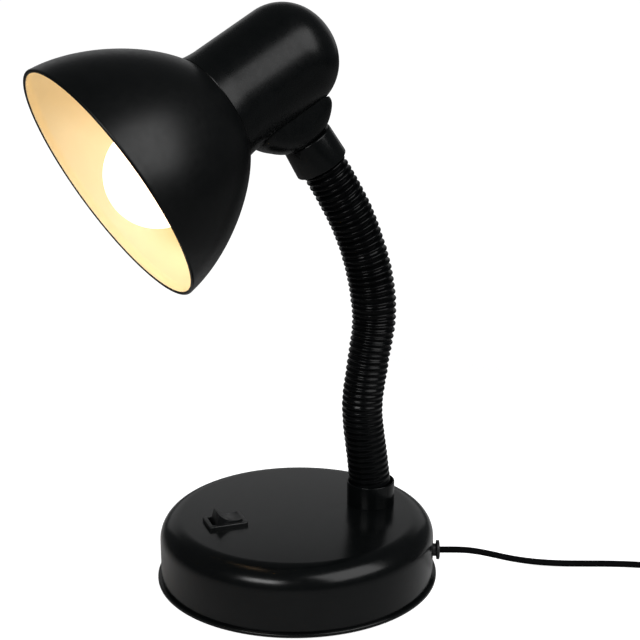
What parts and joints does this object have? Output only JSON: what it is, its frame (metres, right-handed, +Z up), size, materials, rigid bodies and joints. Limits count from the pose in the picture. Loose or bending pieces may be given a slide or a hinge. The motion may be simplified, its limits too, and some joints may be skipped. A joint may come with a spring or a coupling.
{
  "type": "gooseneck desk lamp",
  "caption": "Desk lamp: round weighted base with rocker switch, ribbed flexible neck, ferrule swivel, bell shade with screw-in bulb, flat cord with two-pin plug.",
  "frame": {"origin": "centre of the base on the surface it stands on", "axes": "+Z up, +Y from the switch towards the neck's foot, so the head hangs out towards -Y"},
  "size_m": [0.1591, 0.4098, 0.3029],
  "materials": {
    "black_paint": "satin black powder coat on steel",
    "shade_paint": "satin black outside, warm white enamel inside",
    "sleeve_plastic": "ribbed flexible sleeve, satin",
    "switch_plastic": "moulded, semi-gloss",
    "cord_plastic": "PVC jacket, satin",
    "plug_plastic": "moulded, fine grain",
    "lead_insulation": "PVC wire insulation",
    "zinc_steel": "zinc plated",
    "cast_iron": "as cast",
    "contact_brass": "stamped",
    "pin_metal": "nickel plated",
    "frosted_glass": "frosted white",
    "pad_foam": "closed-cell foam pad"
  },
  "bodies": {
    "base": {"base_pad": "pad_foam", "base_plate": "black_paint", "ballast_weight": "cast_iron", "base_shell": "black_paint", "base_posts": "zinc_steel", "plate_screws": "zinc_steel", "cord_gland": "plug_plastic", "cord_clamp": "plug_plastic", "clamp_screws": "zinc_steel", "switch_housing": "switch_plastic", "switch_terminals": "contact_brass", "base_leads": "lead_insulation", "neck_collar": "black_paint", "neck_stud": "zinc_steel", "neck_nut": "zinc_steel", "neck_sleeve_1": "sleeve_plastic", "neck_core_1": "zinc_steel", "neck_lead_1": "lead_insulation", "cord_run": "cord_plastic", "cord_coil": "cord_plastic", "cord_tail": "cord_plastic", "plug_body": "plug_plastic", "plug_pins": "pin_metal"},
    "rocker": {"switch_rocker": "switch_plastic"},
    "neck_2": {"neck_sleeve_2": "sleeve_plastic", "neck_core_2": "zinc_steel", "neck_lead_2": "lead_insulation"},
    "neck_3": {"neck_sleeve_3": "sleeve_plastic", "neck_core_3": "zinc_steel", "neck_lead_3": "lead_insulation"},
    "neck_4": {"neck_sleeve_4": "sleeve_plastic", "neck_core_4": "zinc_steel", "neck_lead_4": "lead_insulation"},
    "neck_5": {"neck_sleeve_5": "sleeve_plastic", "neck_core_5": "zinc_steel", "neck_lead_5": "lead_insulation"},
    "neck_6": {"neck_sleeve_6": "sleeve_plastic", "neck_core_6": "zinc_steel", "neck_lead_6": "lead_insulation"},
    "neck_7": {"neck_sleeve_7": "sleeve_plastic", "neck_core_7": "zinc_steel", "neck_lead_7": "lead_insulation"},
    "ferrule": {"upper_ferrule": "black_paint", "neck_sleeve_8": "sleeve_plastic", "neck_core_8": "zinc_steel", "neck_lead_8": "lead_insulation"},
    "head": {"swivel_knuckle": "black_paint", "swivel_nipple": "zinc_steel", "swivel_nuts": "zinc_steel", "cap_housing": "black_paint", "holder_bracket": "zinc_steel", "holder_body": "plug_plastic", "holder_shell": "contact_brass", "holder_contact": "contact_brass", "holder_screws": "zinc_steel", "head_leads": "lead_insulation", "shade": "shade_paint", "shade_ring": "zinc_steel", "bulb_glass": "frosted_glass", "bulb_cap": "pin_metal"}
  },
  "joints": [
    {"name": "switch_rocker", "type": "hinge", "parent": "base", "child": "rocker", "pos_m": [0, -0.0398, 0.035], "axis": [1, 0, 0], "range_deg": [0, 34]},
    {"name": "neck_bend_1", "type": "hinge", "parent": "base", "child": "neck_2", "pos_m": [0, 0.04124, 0.0542], "axis": [1, 0, 0], "range_deg": [-24, 16]},
    {"name": "neck_sway_1", "type": "hinge", "parent": "neck_2", "child": "neck_3", "pos_m": [0, 0.03752, 0.08245], "axis": [0, 0.9995, 0.0305], "range_deg": [-20, 20]},
    {"name": "neck_bend_2", "type": "hinge", "parent": "neck_3", "child": "neck_4", "pos_m": [0, 0.0395, 0.11088], "axis": [1, 0, 0], "range_deg": [-20, 18]},
    {"name": "neck_sway_2", "type": "hinge", "parent": "neck_4", "child": "neck_5", "pos_m": [0, 0.04322, 0.13914], "axis": [0, 0.9999, -0.0131], "range_deg": [-20, 20]},
    {"name": "neck_bend_3", "type": "hinge", "parent": "neck_5", "child": "neck_6", "pos_m": [0, 0.04025, 0.16748], "axis": [1, 0, 0], "range_deg": [-36, 10]},
    {"name": "neck_sway_3", "type": "hinge", "parent": "neck_6", "child": "neck_7", "pos_m": [0, 0.03097, 0.19443], "axis": [0, 0.9118, 0.4107], "range_deg": [-20, 20]},
    {"name": "neck_bend_4", "type": "hinge", "parent": "neck_7", "child": "ferrule", "pos_m": [0, 0.01693, 0.21924], "axis": [1, 0, 0], "range_deg": [-24, 20]},
    {"name": "head_swivel", "type": "hinge", "parent": "ferrule", "child": "head", "pos_m": [0, 0.00663, 0.23638], "axis": [0, -0.515, 0.8572], "range_deg": [-158, 142]}
  ]
}
